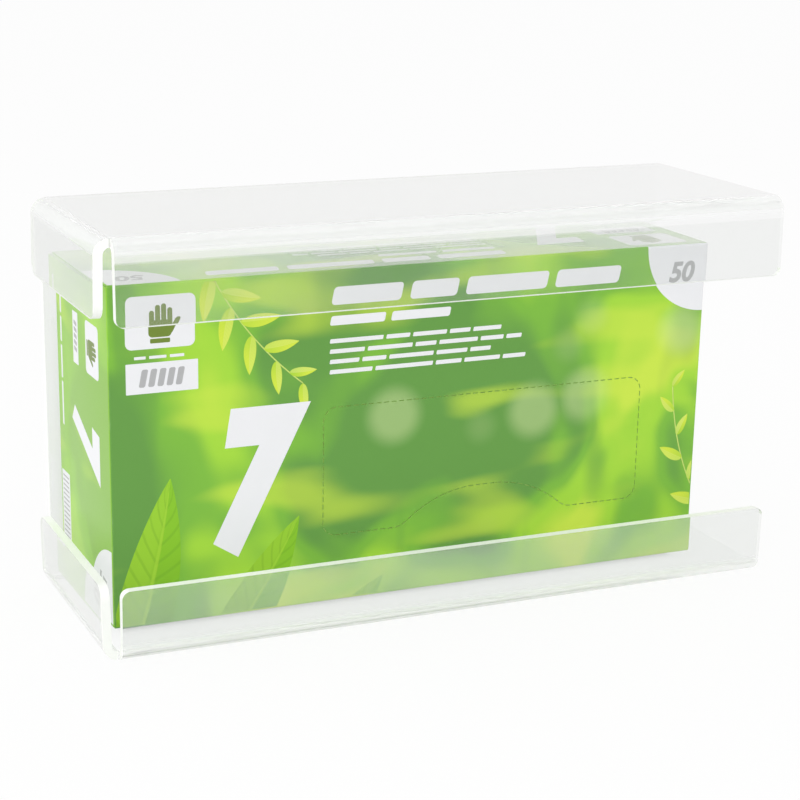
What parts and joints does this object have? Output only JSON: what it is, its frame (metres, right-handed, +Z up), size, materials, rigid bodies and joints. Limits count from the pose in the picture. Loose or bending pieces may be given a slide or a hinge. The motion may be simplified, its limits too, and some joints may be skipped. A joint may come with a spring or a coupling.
{
  "type": "disposable glove dispenser",
  "caption": "Clear acrylic wall holder bent from one sheet, with front lips, left flaps and an open right end, holding a sealed printed carton of disposable gloves.",
  "frame": {"origin": "middle of the holder's wall face, halfway up its height and across its width", "axes": "+X to the open end that the carton slides in through, +Y into the wall, +Z up; the tear panel faces -Y"},
  "size_m": [0.2546, 0.0911, 0.1424],
  "materials": {
    "clear_acrylic": "clear cast acrylic, polished faces and edges",
    "printed_carton": "varnished full-colour print on white carton board"
  },
  "bodies": {
    "root": {"holder": "clear_acrylic", "glove_carton": "printed_carton"}
  },
  "joints": []
}
